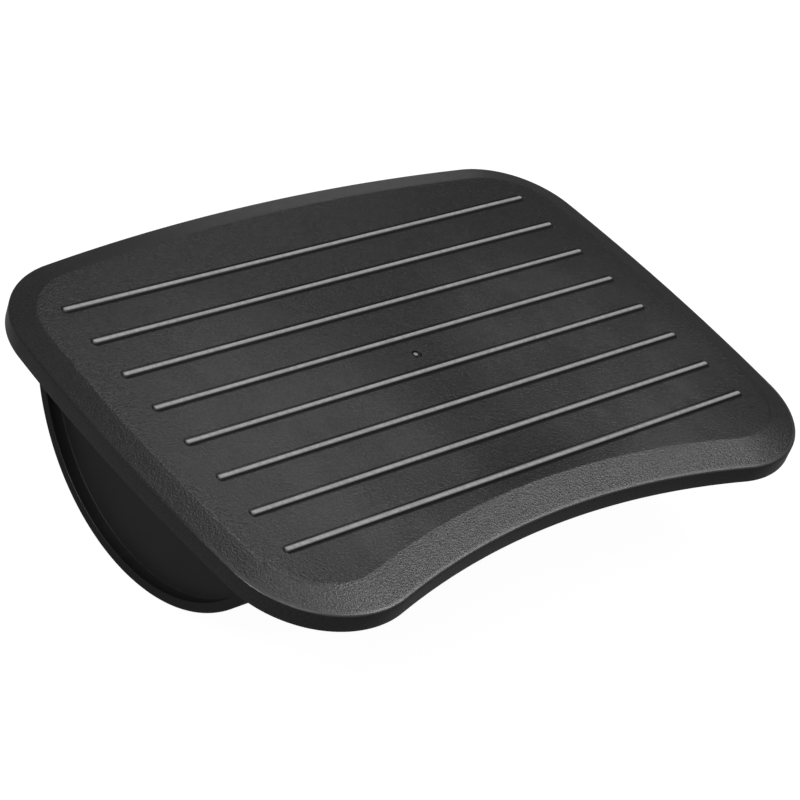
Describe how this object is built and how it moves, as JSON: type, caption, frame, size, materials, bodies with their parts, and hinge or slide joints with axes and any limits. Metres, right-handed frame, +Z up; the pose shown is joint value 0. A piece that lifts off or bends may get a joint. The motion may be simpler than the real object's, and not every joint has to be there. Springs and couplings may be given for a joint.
{
  "type": "tilting under desk footrest",
  "caption": "Rocking under-desk footrest: a dark moulded foot plate with pale grip strips and a concave front edge, on a half drum that rolls on the floor to tilt.",
  "frame": {"origin": "on the floor, under the middle of the level footrest's overall box", "axes": "+X along the width, +Y away from the sitter (the concave front edge faces -Y), +Z up"},
  "size_m": [0.4628, 0.3328, 0.1032],
  "materials": {
    "plate_plastic": "fine moulded grain, dark grey black",
    "drum_plastic": "smooth moulded, black",
    "strip_rubber": "soft grip strip, mid grey",
    "tread_rubber": "matt non-slip rubber, black",
    "screw_steel": "zinc plated"
  },
  "bodies": {
    "root": {"foot_plate": "plate_plastic", "rocker_drum": "drum_plastic", "grip_strip_1": "strip_rubber", "grip_strip_2": "strip_rubber", "grip_strip_3": "strip_rubber", "grip_strip_4": "strip_rubber", "grip_strip_5": "strip_rubber", "grip_strip_6": "strip_rubber", "grip_strip_7": "strip_rubber", "grip_strip_8": "strip_rubber", "floor_tread_left": "tread_rubber", "floor_tread_right": "tread_rubber", "screw_1": "screw_steel", "screw_2": "screw_steel", "screw_3": "screw_steel", "screw_4": "screw_steel", "screw_5": "screw_steel", "screw_6": "screw_steel", "screw_7": "screw_steel", "screw_8": "screw_steel"}
  },
  "joints": []
}
